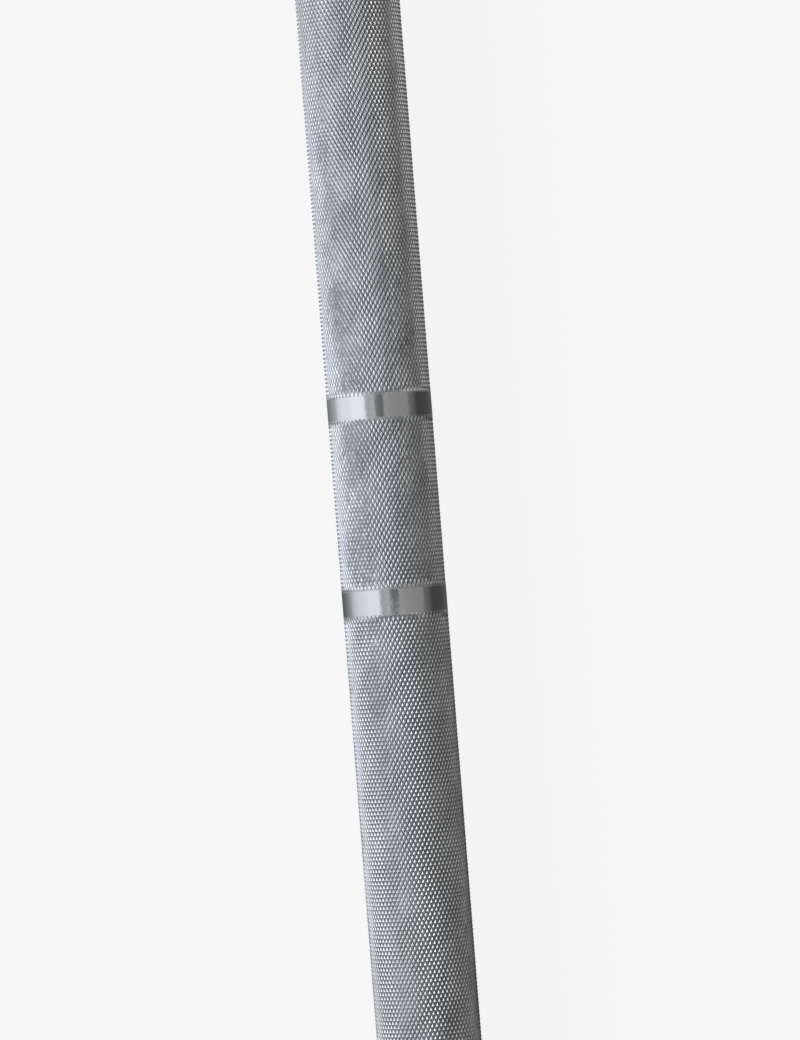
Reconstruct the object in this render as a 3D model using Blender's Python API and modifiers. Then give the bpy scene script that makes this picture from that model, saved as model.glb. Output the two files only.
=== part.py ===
"""A barbell with turning sleeves, built as it comes apart on a bench.

Metres, +Z up. The bar lies along X, its middle over the origin, and rests on its two collars.
Every turned piece is a half-section spun about its own Z axis, which lies along the bar and
points out of the bar's end. Sections are lists of (radius, height) points, where height runs
outwards along that axis.
"""

import math

import bpy

# Overall layout along the bar
SPAN_BETWEEN_COLLARS = 1.310
COLLAR_WIDTH = 0.030
LOADABLE_LENGTH = 0.415
COLLAR_DIAMETER = 0.078
SLEEVE_DIAMETER = 0.050

# Shaft
SHAFT_DIAMETER = 0.028
JOURNAL_DIAMETER = 0.025
KNURL_SINK = 0.00015
KNURL_START = 0.210
KNURL_STOP_GAP = 0.005
INNER_MARK_PLACE = 0.405
INNER_MARK_WIDTH = 0.0066
OUTER_MARK_PLACE = 0.457
OUTER_MARK_WIDTH = 0.0060
SHAFT_CHAMFER = 0.0010

# Sleeve
SLEEVE_BORE = 0.030
MOUTH_BORE = 0.034
SLEEVE_END_CHAMFER = 0.0020
COLLAR_CHAMFER = 0.0020
COLLAR_GROOVE_WIDTH = 0.0040
COLLAR_GROOVE_DEPTH = 0.0010
POCKET_BORE = 0.0366
CAP_SEAT_BORE = 0.0390
CAP_SEAT_DEPTH = 0.0100

# Bearing set
CLEARANCE = 0.0003
BUSHING_LENGTH = 0.040
BUSHING_FLANGE_THICKNESS = 0.0030
SEAL_THICKNESS = 0.0045
SEAL_RECESS = 0.0005
THRUST_WASHER_THICKNESS = 0.0020
BACKING_WASHER_THICKNESS = 0.0015

# Snap rings and the end cap
SNAP_RING_THICKNESS = 0.0018
SHAFT_GROOVE_DEPTH = 0.0010
SHAFT_RING_HEIGHT = 0.0033
SHAFT_END_LENGTH = 0.0030
CAP_THICKNESS = 0.0050
CAP_RIM = 0.0030
CAP_DISH = 0.0010
CAP_RING_GROOVE_DEPTH = 0.0014
CAP_RING_HEIGHT = 0.0028
LUG_HEIGHT = 0.0036
LUG_WIDTH = 0.0040
LUG_HOLE = 0.0016
LUG_LAND = 0.0008
RING_GAP = 0.0070

# How finely round pieces are faceted; a multiple of four puts a flat underneath
SHAFT_STEPS = 40
OUTSIDE_STEPS = 48
INSIDE_STEPS = 32
ARC_STEPS = 36
HOLE_STEPS = 10
MERGE = 0.00001
SHARP_ANGLE = math.radians(30)

# Places worked out from the sizes above, measured from the middle of the bar
COLLAR_FACE = SPAN_BETWEEN_COLLARS / 2
SLEEVE_LENGTH = COLLAR_WIDTH + LOADABLE_LENGTH
AXIS_HEIGHT = COLLAR_DIAMETER / 2
SHAFT_RADIUS = SHAFT_DIAMETER / 2
JOURNAL_RADIUS = JOURNAL_DIAMETER / 2

# Heights along the sleeve's own axis, from the collar's face outwards
SEAL_LOW = SEAL_RECESS
SHOULDER = SEAL_LOW + SEAL_THICKNESS + CLEARANCE
INNER_WASHER_LOW = SHOULDER + CLEARANCE
MOUTH_DEPTH = INNER_WASHER_LOW + THRUST_WASHER_THICKNESS + BUSHING_FLANGE_THICKNESS + 2 * CLEARANCE
CAP_SEAT = SLEEVE_LENGTH - CAP_SEAT_DEPTH
CAP_LOW = CAP_SEAT + CLEARANCE
CAP_RING_LOW = CAP_LOW + CAP_THICKNESS + CLEARANCE
SHAFT_END = CAP_SEAT - CLEARANCE
SHAFT_RING_TOP = SHAFT_END - SHAFT_END_LENGTH
SHAFT_RING_LOW = SHAFT_RING_TOP - SNAP_RING_THICKNESS
BACKING_WASHER_LOW = SHAFT_RING_LOW - CLEARANCE - BACKING_WASHER_THICKNESS
OUTER_WASHER_LOW = BACKING_WASHER_LOW - CLEARANCE - THRUST_WASHER_THICKNESS
OUTER_FLANGE_LOW = OUTER_WASHER_LOW - CLEARANCE - BUSHING_FLANGE_THICKNESS
POCKET_FLOOR = OUTER_FLANGE_LOW - CLEARANCE


def finish(name, colour, roughness, metallic):
    """A plain material: what the piece is made of, and how bright it is."""
    material = bpy.data.materials.new(name)
    material.use_nodes = True
    shader = material.node_tree.nodes["Principled BSDF"]
    shader.inputs["Base Color"].default_value = (*colour, 1.0)
    shader.inputs["Roughness"].default_value = roughness
    shader.inputs["Metallic"].default_value = metallic
    return material


def facet_reach(radius, steps):
    """The corner radius of a faceted circle whose flats lie at the given radius."""
    return radius / math.cos(math.pi / steps)


def spun(name, section, steps, material, parent, height=0.0):
    """Spin a section, a list of (radius, height), about Z into one solid on its parent's axis.

    A section that starts on the axis stays open there, and any other is closed into a loop.
    """
    line = bpy.data.meshes.new(name + "_section")
    count = len(section)
    edges = [(i, i + 1) for i in range(count - 1)]
    if section[0][0] > 0.0:
        edges.append((count - 1, 0))
    line.from_pydata([(radius, 0.0, along) for radius, along in section], edges, [])
    piece = bpy.data.objects.new(name, line)
    parts.objects.link(piece)
    screw = piece.modifiers.new("spin", "SCREW")
    screw.axis = "Z"
    screw.steps = steps
    screw.render_steps = steps
    screw.use_merge_vertices = True
    screw.merge_threshold = MERGE

    # The spun mesh takes the section's place, so that its corners can be marked sharp
    spun_piece = piece.evaluated_get(bpy.context.evaluated_depsgraph_get())
    mesh = bpy.data.meshes.new_from_object(spun_piece)
    piece.modifiers.clear()
    piece.data = mesh
    bpy.data.meshes.remove(line)
    mesh.name = name
    mesh.shade_smooth()
    mesh.set_sharp_from_angle(angle=SHARP_ANGLE)
    mesh.materials.append(material)
    piece.parent = parent
    piece.location.z = height
    piece.rotation_euler.z = math.pi / steps
    return piece


def washer(name, inner, outer, thickness, material, parent, height):
    """A flat washer, its lower face at the given height."""
    section = [(inner, thickness), (outer, thickness), (outer, 0.0), (inner, 0.0)]
    return spun(name, section, INSIDE_STEPS, material, parent, height)


def shaft_half():
    """The shaft's outer line from its middle to its end, as (radius, distance) points."""
    knurled = SHAFT_RADIUS - KNURL_SINK
    shoulder = COLLAR_FACE + SHOULDER
    end = COLLAR_FACE + SHAFT_END
    groove_low = COLLAR_FACE + SHAFT_RING_LOW - CLEARANCE
    groove_high = COLLAR_FACE + SHAFT_RING_TOP + CLEARANCE
    groove = JOURNAL_RADIUS - SHAFT_GROOVE_DEPTH
    line = [(SHAFT_RADIUS, KNURL_START), (knurled, KNURL_START)]
    for place, width in (
        (INNER_MARK_PLACE, INNER_MARK_WIDTH),
        (OUTER_MARK_PLACE, OUTER_MARK_WIDTH),
    ):
        near, far = place - width / 2, place + width / 2
        line += [(knurled, near), (SHAFT_RADIUS, near), (SHAFT_RADIUS, far), (knurled, far)]
    knurl_stop = COLLAR_FACE - KNURL_STOP_GAP
    line += [(knurled, knurl_stop), (SHAFT_RADIUS, knurl_stop)]
    line += [(SHAFT_RADIUS, shoulder - SHAFT_CHAMFER), (SHAFT_RADIUS - SHAFT_CHAMFER, shoulder)]
    line += [(JOURNAL_RADIUS, shoulder), (JOURNAL_RADIUS, groove_low)]
    line += [(groove, groove_low), (groove, groove_high), (JOURNAL_RADIUS, groove_high)]
    line += [(JOURNAL_RADIUS, end - SHAFT_CHAMFER), (JOURNAL_RADIUS - SHAFT_CHAMFER, end)]
    return line


def make_shaft():
    """One bar from end to end: grip zones, ring marks, shoulders, journals and grooves."""
    half = shaft_half()
    far_end = half[-1][1]
    section = [(0.0, far_end)] + half[::-1]
    section += [(radius, -along) for radius, along in half] + [(0.0, -far_end)]
    return spun("shaft", section, SHAFT_STEPS, bright_steel, bar_axis)


def make_sleeve(side, parent):
    """The tube that plates slide on, bored for its bushes and pocketed for its end cap."""
    outside = facet_reach(SLEEVE_DIAMETER / 2, OUTSIDE_STEPS)
    groove = CAP_SEAT_BORE / 2 + CAP_RING_GROOVE_DEPTH
    groove_low = CAP_RING_LOW - CLEARANCE
    groove_high = CAP_RING_LOW + SNAP_RING_THICKNESS + CLEARANCE
    section = [
        (CAP_SEAT_BORE / 2, SLEEVE_LENGTH),
        (outside - SLEEVE_END_CHAMFER, SLEEVE_LENGTH),
        (outside, SLEEVE_LENGTH - SLEEVE_END_CHAMFER),
        (outside, 0.0),
        (MOUTH_BORE / 2, 0.0),
        (MOUTH_BORE / 2, MOUTH_DEPTH),
        (SLEEVE_BORE / 2, MOUTH_DEPTH),
        (SLEEVE_BORE / 2, POCKET_FLOOR),
        (POCKET_BORE / 2, POCKET_FLOOR),
        (POCKET_BORE / 2, CAP_SEAT),
        (CAP_SEAT_BORE / 2, CAP_SEAT),
        (CAP_SEAT_BORE / 2, groove_low),
        (groove, groove_low),
        (groove, groove_high),
        (CAP_SEAT_BORE / 2, groove_high),
    ]
    return spun(f"{side}_sleeve", section, OUTSIDE_STEPS, sleeve_chrome, parent)


def make_collar(side, parent):
    """The stop ring on the sleeve's inner end, with broken edges and a shallow groove round it."""
    outside = facet_reach(COLLAR_DIAMETER / 2, OUTSIDE_STEPS)
    bore = facet_reach(SLEEVE_DIAMETER / 2 + CLEARANCE, OUTSIDE_STEPS)
    middle = COLLAR_WIDTH / 2
    groove = outside - COLLAR_GROOVE_DEPTH
    section = [
        (bore, COLLAR_WIDTH),
        (outside - COLLAR_CHAMFER, COLLAR_WIDTH),
        (outside, COLLAR_WIDTH - COLLAR_CHAMFER),
        (outside, middle + COLLAR_GROOVE_WIDTH / 2),
        (groove, middle + COLLAR_GROOVE_WIDTH / 2 - COLLAR_GROOVE_DEPTH),
        (groove, middle - COLLAR_GROOVE_WIDTH / 2 + COLLAR_GROOVE_DEPTH),
        (outside, middle - COLLAR_GROOVE_WIDTH / 2),
        (outside, COLLAR_CHAMFER),
        (outside - COLLAR_CHAMFER, 0.0),
        (bore, 0.0),
    ]
    return spun(f"{side}_collar", section, OUTSIDE_STEPS, collar_chrome, parent)


def make_bushing(name, flange_bore, parent, flange_low, outwards):
    """A flanged bush that turns on the journal; its barrel points away from its flange's side."""
    bore = JOURNAL_RADIUS + CLEARANCE
    barrel = SLEEVE_BORE / 2 - CLEARANCE
    flange = flange_bore / 2 - CLEARANCE
    section = [
        (bore, BUSHING_FLANGE_THICKNESS),
        (flange, BUSHING_FLANGE_THICKNESS),
        (flange, 0.0),
        (barrel, 0.0),
        (barrel, -BUSHING_LENGTH),
        (bore, -BUSHING_LENGTH),
    ]
    if outwards:
        section = [(radius, BUSHING_FLANGE_THICKNESS - along) for radius, along in section[::-1]]
    return spun(name, section, INSIDE_STEPS, bronze, parent, flange_low)


def make_seal(side, parent):
    """The rubber ring in the sleeve's mouth, with a lip that leans in towards the shaft."""
    lip = SHAFT_RADIUS + CLEARANCE
    body = MOUTH_BORE / 2 - CLEARANCE
    root = (lip + body) / 2
    section = [
        (root, SEAL_THICKNESS),
        (body, SEAL_THICKNESS),
        (body, 0.0),
        (lip, 0.0),
        (lip, SEAL_THICKNESS / 3),
        (root, SEAL_THICKNESS * 2 / 3),
    ]
    return spun(f"{side}_dust_seal", section, INSIDE_STEPS, seal_rubber, parent, SEAL_LOW)


def make_end_cap(side, parent):
    """The disc that closes the sleeve, dished inside a plain rim, with a flat back."""
    rim = CAP_SEAT_BORE / 2 - CLEARANCE
    dish = rim - CAP_RIM
    section = [
        (0.0, CAP_THICKNESS - CAP_DISH),
        (dish - CAP_DISH, CAP_THICKNESS - CAP_DISH),
        (dish, CAP_THICKNESS),
        (rim, CAP_THICKNESS),
        (rim, 0.0),
        (0.0, 0.0),
    ]
    return spun(f"{side}_end_cap", section, OUTSIDE_STEPS, cap_aluminium, parent, CAP_LOW)


def snap_ring(name, root_radius, edge_radius, lug_reach, parent, height):
    """A snap ring as a flat outline with two drilled ears at its gap, given its thickness.

    root_radius is the edge that sits in the groove, edge_radius the other one, and lug_reach
    the radius that the ears run to, inwards or outwards.
    """
    half_gap = RING_GAP / 2
    start = math.asin(half_gap / root_radius)
    near_edge = math.asin((half_gap + LUG_WIDTH) / edge_radius)
    root_arc = [
        start + (2 * math.pi - 2 * start) * i / ARC_STEPS for i in range(ARC_STEPS + 1)
    ]
    edge_arc = [
        near_edge + (2 * math.pi - 2 * near_edge) * i / ARC_STEPS for i in range(ARC_STEPS + 1)
    ]
    lug_far = math.sqrt(lug_reach ** 2 - (half_gap + LUG_WIDTH) ** 2)
    lug_near = math.sqrt(lug_reach ** 2 - half_gap ** 2)
    outline = [(root_radius * math.cos(a), root_radius * math.sin(a)) for a in root_arc]
    outline.append((lug_near, -half_gap))
    outline.append((lug_far, -half_gap - LUG_WIDTH))
    outline += [(edge_radius * math.cos(a), edge_radius * math.sin(a)) for a in edge_arc[::-1]]
    outline.append((lug_far, half_gap + LUG_WIDTH))
    outline.append((lug_near, half_gap))

    curve = bpy.data.curves.new(name, "CURVE")
    curve.dimensions = "2D"
    curve.fill_mode = "BOTH"
    curve.extrude = SNAP_RING_THICKNESS / 2
    curve.materials.append(spring_steel)
    add_loop(curve, outline, turning=1)
    inwards = math.copysign(1, edge_radius - lug_reach)
    hole_place = (lug_near + lug_far) / 2 + inwards * (LUG_HOLE / 2 + LUG_LAND)
    for side in (-1, 1):
        centre = side * (half_gap + LUG_WIDTH / 2)
        turn = [2 * math.pi * i / HOLE_STEPS for i in range(HOLE_STEPS)]
        hole = [
            (hole_place + LUG_HOLE / 2 * math.cos(a), centre + LUG_HOLE / 2 * math.sin(a))
            for a in turn
        ]
        add_loop(curve, hole, turning=-1)
    ring = bpy.data.objects.new(name, curve)
    parts.objects.link(ring)
    ring.parent = parent
    ring.location.z = height + SNAP_RING_THICKNESS / 2
    return ring


def add_loop(curve, points, turning):
    """Add a closed straight-sided loop: an outline turns anticlockwise, a hole the other way."""
    following = points[1:] + points[:1]
    area = sum(x1 * y2 - x2 * y1 for (x1, y1), (x2, y2) in zip(points, following))
    if area * turning < 0:
        points = points[::-1]
    loop = curve.splines.new("POLY")
    loop.points.add(len(points) - 1)
    for point, (x, y) in zip(loop.points, points):
        point.co = (x, y, 0.0, 1.0)
    loop.use_cyclic_u = True


def make_bearing_set(side, on_shaft, on_sleeve):
    """Seal, washers, bushes and the snap ring, in the order that they go on the shaft."""
    journal_bore = JOURNAL_RADIUS + CLEARANCE
    mouth_fit = MOUTH_BORE / 2 - CLEARANCE
    pocket_fit = POCKET_BORE / 2 - CLEARANCE
    make_seal(side, on_sleeve)
    washer(
        f"{side}_inner_thrust_washer", journal_bore, mouth_fit, THRUST_WASHER_THICKNESS,
        bronze, on_shaft, INNER_WASHER_LOW,
    )
    inner_flange_low = INNER_WASHER_LOW + THRUST_WASHER_THICKNESS + CLEARANCE
    make_bushing(f"{side}_inner_bushing", MOUTH_BORE, on_sleeve, inner_flange_low, True)
    make_bushing(f"{side}_outer_bushing", POCKET_BORE, on_sleeve, OUTER_FLANGE_LOW, False)
    washer(
        f"{side}_outer_thrust_washer", journal_bore, pocket_fit, THRUST_WASHER_THICKNESS,
        bronze, on_shaft, OUTER_WASHER_LOW,
    )
    washer(
        f"{side}_backing_washer", journal_bore, pocket_fit, BACKING_WASHER_THICKNESS,
        washer_steel, on_shaft, BACKING_WASHER_LOW,
    )
    groove_floor = JOURNAL_RADIUS - SHAFT_GROOVE_DEPTH + CLEARANCE
    snap_ring(
        f"{side}_shaft_snap_ring", groove_floor, groove_floor + SHAFT_RING_HEIGHT,
        pocket_fit, on_shaft, SHAFT_RING_LOW,
    )


def make_end(side, flip):
    """One end of the bar. The left end is the right end's set of pieces, turned round."""
    on_shaft = bpy.data.objects.new(f"{side}_shaft_end", None)
    on_sleeve = bpy.data.objects.new(f"{side}_sleeve_axis", None)
    for empty in (on_shaft, on_sleeve):
        parts.objects.link(empty)
        empty.parent = bar_axis
        empty.location.z = -COLLAR_FACE if flip else COLLAR_FACE
        empty.rotation_euler.x = math.pi if flip else 0.0
    make_sleeve(side, on_sleeve)
    make_collar(side, on_sleeve)
    make_bearing_set(side, on_shaft, on_sleeve)
    make_end_cap(side, on_sleeve)
    ring_root = CAP_SEAT_BORE / 2 + CAP_RING_GROOVE_DEPTH - CLEARANCE
    ring_edge = ring_root - CAP_RING_HEIGHT
    snap_ring(
        f"{side}_end_cap_snap_ring", ring_root, ring_edge, ring_edge - LUG_HEIGHT,
        on_sleeve, CAP_RING_LOW,
    )


for old in list(bpy.data.objects):
    bpy.data.objects.remove(old, do_unlink=True)

parts = bpy.data.collections.new("barbell")
bpy.context.scene.collection.children.link(parts)

bright_steel = finish("bright_steel", (0.62, 0.63, 0.64), 0.24, 1.0)
sleeve_chrome = finish("sleeve_chrome", (0.66, 0.67, 0.68), 0.16, 1.0)
collar_chrome = finish("collar_chrome", (0.64, 0.65, 0.66), 0.20, 1.0)
bronze = finish("bronze", (0.58, 0.38, 0.18), 0.35, 1.0)
seal_rubber = finish("seal_rubber", (0.02, 0.02, 0.02), 0.70, 0.0)
washer_steel = finish("washer_steel", (0.45, 0.45, 0.46), 0.40, 1.0)
spring_steel = finish("spring_steel", (0.08, 0.08, 0.09), 0.45, 1.0)
cap_aluminium = finish("cap_aluminium", (0.60, 0.61, 0.62), 0.35, 1.0)

bar_axis = bpy.data.objects.new("bar_axis", None)
parts.objects.link(bar_axis)
bar_axis.location.z = AXIS_HEIGHT
bar_axis.rotation_euler.y = math.pi / 2

make_shaft()
make_end("right", flip=False)
make_end("left", flip=True)
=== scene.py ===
import math

import bmesh
import bpy
import numpy as np
from mathutils import Matrix, Vector


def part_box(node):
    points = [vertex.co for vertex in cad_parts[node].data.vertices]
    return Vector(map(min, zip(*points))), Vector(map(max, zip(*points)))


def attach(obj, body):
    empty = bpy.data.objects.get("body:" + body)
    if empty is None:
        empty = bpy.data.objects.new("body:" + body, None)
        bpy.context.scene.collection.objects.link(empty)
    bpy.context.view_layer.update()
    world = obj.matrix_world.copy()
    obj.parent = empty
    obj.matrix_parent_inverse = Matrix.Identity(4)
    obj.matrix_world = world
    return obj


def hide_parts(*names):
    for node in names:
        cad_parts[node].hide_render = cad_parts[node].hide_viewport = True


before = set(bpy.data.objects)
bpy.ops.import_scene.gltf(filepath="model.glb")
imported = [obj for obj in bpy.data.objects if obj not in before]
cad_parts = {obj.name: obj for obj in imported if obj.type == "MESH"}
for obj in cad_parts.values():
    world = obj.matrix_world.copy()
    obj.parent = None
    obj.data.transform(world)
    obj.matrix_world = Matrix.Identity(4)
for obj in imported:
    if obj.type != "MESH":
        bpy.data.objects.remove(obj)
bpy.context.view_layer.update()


# Shaft, plain lengths. One bar of hardened steel, centreless ground and hard chromed: the smooth
# middle, two ring marks a side left free of knurl, and the turned ends that the sleeves run on.
MM = 0.001
AXIS_HEIGHT = (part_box("shaft")[0].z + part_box("shaft")[1].z) / 2
SHAFT_RADIUS = 14.0 * MM
JOURNAL_RADIUS = 12.5 * MM
JOURNAL_GROOVE_RADIUS = 11.5 * MM
SHAFT_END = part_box("shaft")[1].x
JOURNAL_GROOVE = (SHAFT_END - 5.0 * MM, SHAFT_END - 2.8 * MM)
SHOULDER = 660.3 * MM
SHAFT_CHAMFER = 1.0 * MM
BROKEN_EDGE = 0.03 * MM
KNURL_START = 210 * MM
KNURL_END = 650 * MM
# Each ring mark's middle along the bar, and its width
MARKS = {"inner": (405 * MM, 6.6 * MM), "outer": (457 * MM, 6.0 * MM)}
ROUND_STEPS = 192
SHARP_ANGLE = math.radians(35)
# On a run longer than LONG_RUN eases, one more point lies JUST_SHORT eases from the corner
LONG_RUN = 3
JUST_SHORT = 1.4

BRIGHT_CHROME = "#C7C8C9"


def linear(code):
    """An sRGB hex colour as the linear red, green, blue and alpha that a shader takes."""
    channels = [int(code[i:i + 2], 16) / 255 for i in (1, 3, 5)]
    return [c / 12.92 if c <= 0.04045 else ((c + 0.055) / 1.055) ** 2.4 for c in channels] + [1.0]


def node(tree, kind, sockets=None, feeds=None, **settings):
    """Add a shader node, give its sockets and settings their values, and link its inputs."""
    made = tree.nodes.new("ShaderNode" + kind)
    for name, value in settings.items():
        setattr(made, name, value)
    for name, value in (sockets or {}).items():
        made.inputs[name].default_value = value
    for name, source in (feeds or {}).items():
        tree.links.new(source, made.inputs[name])
    return made


def blank_material(name):
    """A new material with its Principled shader, ready for its own colour and relief."""
    material = bpy.data.materials.new(name)
    material.use_nodes = True
    return material, material.node_tree, material.node_tree.nodes["Principled BSDF"]


def new_piece(name, mesh):
    """Put a mesh into the scene as a piece of its own."""
    piece = bpy.data.objects.new(name, mesh)
    bpy.context.scene.collection.objects.link(piece)
    return piece


def eased_line(corners):
    """Points along an outline of (radius, distance, ease) corners, each rounded off by its ease.

    A point just short of each rounding keeps the shading of long straight runs flat.
    """
    line = []
    for i, (radius, distance, ease) in enumerate(corners):
        here = Vector((radius, distance))
        if ease == 0:
            line.append(here)
            continue
        before = Vector(corners[i - 1][:2]) - here
        after = Vector(corners[(i + 1) % len(corners)][:2]) - here
        run_in, run_out = before.normalized() * ease, after.normalized() * ease
        if before.length > LONG_RUN * ease:
            line.append(here + run_in * JUST_SHORT)
        line += [here + run_in * (1 - t) ** 2 + run_out * t ** 2 for t in (0, 0.25, 0.5, 0.75, 1)]
        if after.length > LONG_RUN * ease:
            line.append(here + run_out * JUST_SHORT)
    return line


def turned(name, corners, outward=1):
    """A lathe-turned solid on the bar's axis, from the corners of its outline.

    Distances run from the middle of the bar to its right end, or to its left where outward is -1.
    An outline that starts on the axis also ends there, and any other is a closed loop.
    """
    solid = corners[0][0] == 0
    line = eased_line(corners)
    run = np.cumsum([0.0] + [(b - a).length for a, b in zip(line, line[1:] + line[:1])])
    run /= run[-1]
    angle = 2 * math.pi * np.arange(ROUND_STEPS) / ROUND_STEPS
    points, rings = [], []
    for radius, distance in line:
        ring = np.full(ROUND_STEPS, len(points))
        if radius > 0:
            ring = ring + np.arange(ROUND_STEPS)
        spread = angle if radius > 0 else angle[:1]
        points += [
            (outward * distance, radius * math.sin(a), AXIS_HEIGHT + radius * math.cos(a)) for a in spread
        ]
        rings.append(ring)
    faces, corners_uv = [], []
    for i in range(len(line) - (1 if solid else 0)):
        near, far = rings[i], rings[(i + 1) % len(line)]
        for j in range(ROUND_STEPS):
            k = (j + 1) % ROUND_STEPS
            face = [(near[j], j, i), (far[j], j, i + 1), (far[k], j + 1, i + 1), (near[k], j + 1, i)]
            if near[j] == near[k]:
                face.pop()
            elif far[j] == far[k]:
                face.pop(1)
            faces.append([int(corner[0]) for corner in face])
            corners_uv += [(corner[1] / ROUND_STEPS, run[corner[2]]) for corner in face]
    mesh = bpy.data.meshes.new(name)
    mesh.from_pydata(points, [], faces)
    mesh.uv_layers.new(name="OFBake").data.foreach_set("uv", np.ravel(corners_uv))
    facing = bmesh.new()
    facing.from_mesh(mesh)
    bmesh.ops.recalc_face_normals(facing, faces=facing.faces[:])
    facing.to_mesh(mesh)
    facing.free()
    mesh.shade_smooth()
    mesh.set_sharp_from_angle(angle=SHARP_ANGLE)
    return new_piece(name, mesh)


def dress(piece, material, body, slot, *nodes):
    """Give a piece its finish and the body that it rides on, and hide the solids that it stands for."""
    piece.data.materials.clear()
    piece.data.materials.append(material)
    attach(piece, body)
    if nodes:
        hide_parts(*nodes)


def ground_hard_chrome():
    """Hard chrome on a ground bar: a spotless grey mirror, drawn out a little by fine grinding lines."""
    material, tree, shader = blank_material("ground_hard_chrome")
    shader.inputs["Metallic"].default_value = 1.0
    shader.inputs["Base Color"].default_value = linear(BRIGHT_CHROME)
    place = node(tree, "TexCoord")
    # Grinding lines lie 0.12 mm apart and run round the bar, so the pattern is stretched round it
    lines = node(
        tree, "Mapping", sockets={"Scale": (1 / (0.12 * MM), 60.0, 60.0)},
        feeds={"Vector": place.outputs["Object"]},
    )
    grain = node(
        tree, "TexNoise", sockets={"Scale": 1.0, "Detail": 2.0}, feeds={"Vector": lines.outputs["Vector"]},
    )
    # Handling smears it in patches some 10 mm across
    smear = node(
        tree, "TexNoise", sockets={"Scale": 90.0, "Detail": 3.0}, feeds={"Vector": place.outputs["Object"]},
    )
    # Thick plating is faintly wavy, and here and there frosted, over about 0.6 mm
    waves = node(
        tree, "TexNoise", sockets={"Scale": 1 / (0.6 * MM), "Detail": 3.0},
        feeds={"Vector": place.outputs["Object"]},
    )
    dullness = node(
        tree, "Math", feeds={0: smear.outputs["Fac"], 1: waves.outputs["Fac"]}, operation="ADD",
    )
    rough = node(
        tree, "MapRange", sockets={"From Min": 0.85, "From Max": 1.30, "To Min": 0.07, "To Max": 0.24},
        feeds={"Value": dullness.outputs["Value"]},
    )
    swell = node(
        tree, "Bump", sockets={"Strength": 0.9, "Distance": 0.02 * MM},
        feeds={"Height": waves.outputs["Fac"]},
    )
    bump = node(
        tree, "Bump", sockets={"Strength": 0.10, "Distance": 0.02 * MM},
        feeds={"Height": grain.outputs["Fac"], "Normal": swell.outputs["Normal"]},
    )
    tree.links.new(rough.outputs["Result"], shader.inputs["Roughness"])
    tree.links.new(bump.outputs["Normal"], shader.inputs["Normal"])
    return material


ring_chrome = ground_hard_chrome()


def plain_length(name, start, end):
    """A plain round length of the shaft, with its edges just broken."""
    return turned(
        name,
        [
            (0, end, 0),
            (SHAFT_RADIUS, end, BROKEN_EDGE),
            (SHAFT_RADIUS, start, BROKEN_EDGE),
            (0, start, 0),
        ],
    )


dress(plain_length("shaft_middle", -KNURL_START, KNURL_START), ring_chrome, "shaft", "shaft_steel", "shaft")
for side, sign in (("right", 1), ("left", -1)):
    for mark, (place, width) in MARKS.items():
        band = plain_length(f"{side}_{mark}_mark", sign * (place - width / 2), sign * (place + width / 2))
        dress(band, ring_chrome, "shaft", "shaft_steel")
    journal = turned(
        f"{side}_journal",
        [
            (0, SHAFT_END, 0),
            (JOURNAL_RADIUS - SHAFT_CHAMFER, SHAFT_END, 0.2 * MM),
            (JOURNAL_RADIUS, SHAFT_END - SHAFT_CHAMFER, 0.2 * MM),
            (JOURNAL_RADIUS, JOURNAL_GROOVE[1], 0.05 * MM),
            (JOURNAL_GROOVE_RADIUS, JOURNAL_GROOVE[1], 0),
            (JOURNAL_GROOVE_RADIUS, JOURNAL_GROOVE[0], 0),
            (JOURNAL_RADIUS, JOURNAL_GROOVE[0], 0.05 * MM),
            (JOURNAL_RADIUS, SHOULDER, 0),
            (SHAFT_RADIUS - SHAFT_CHAMFER, SHOULDER, 0.2 * MM),
            (SHAFT_RADIUS, SHOULDER - SHAFT_CHAMFER, 0.2 * MM),
            (SHAFT_RADIUS, KNURL_END, 0.12 * MM),
            (0, KNURL_END, 0),
        ],
        outward=sign,
    )
    dress(journal, ring_chrome, "shaft", "shaft_steel")


# Shaft, knurled grips. Two sets of slanting grooves are rolled into the bar, crossing to leave
# rows of small pyramids, whose tips use has knocked back to small rounded lands.
KNURL_STARTS = 72
KNURL_PITCH = 2.187 * MM
GROOVE_DEPTH = 0.44 * MM
SHOULDER_DROP = 0.20 * MM
LAND_CROWN = 0.015 * MM
# How far a pyramid's shoulder and land reach, as shares of the way from its middle to its corners
SHOULDER_SHARE = 0.77
LAND_SHARE = 0.18
# What differs from one pyramid to the next: heights, and places as shares of half a pyramid
TIP_SCATTER = 0.008 * MM
GROOVE_SCATTER = 0.010 * MM
TILT_SCATTER = 0.006 * MM
PLACE_SCATTER = 0.015
# What drifts slowly along and round the bar, where the rolls bit more or less
DEPTH_DRIFT = 0.10
LAND_DRIFT = 0.07
# Columns by which the lands' drift is turned round from the grooves'
LAND_LAG = 40
RUN_OUT = 1.0 * MM
FACET_SHARP_ANGLE = math.radians(13)
# The long lengths are made in two parts each, joined here, to keep every mesh light
KNURL_JOINS = (270 * MM, 580 * MM)

KNURL_STEEL = "#CFD0D1"
HANDLED_STEEL = "#C5C6C7"
# Tints that multiply the steel's colour: dirt and painted shade in the grooves, none on the lands
GROOVE_DIRT_AND_SHADE = "#DDDDDC"
NO_DIRT_OR_SHADE = "#FFFFFF"


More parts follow.
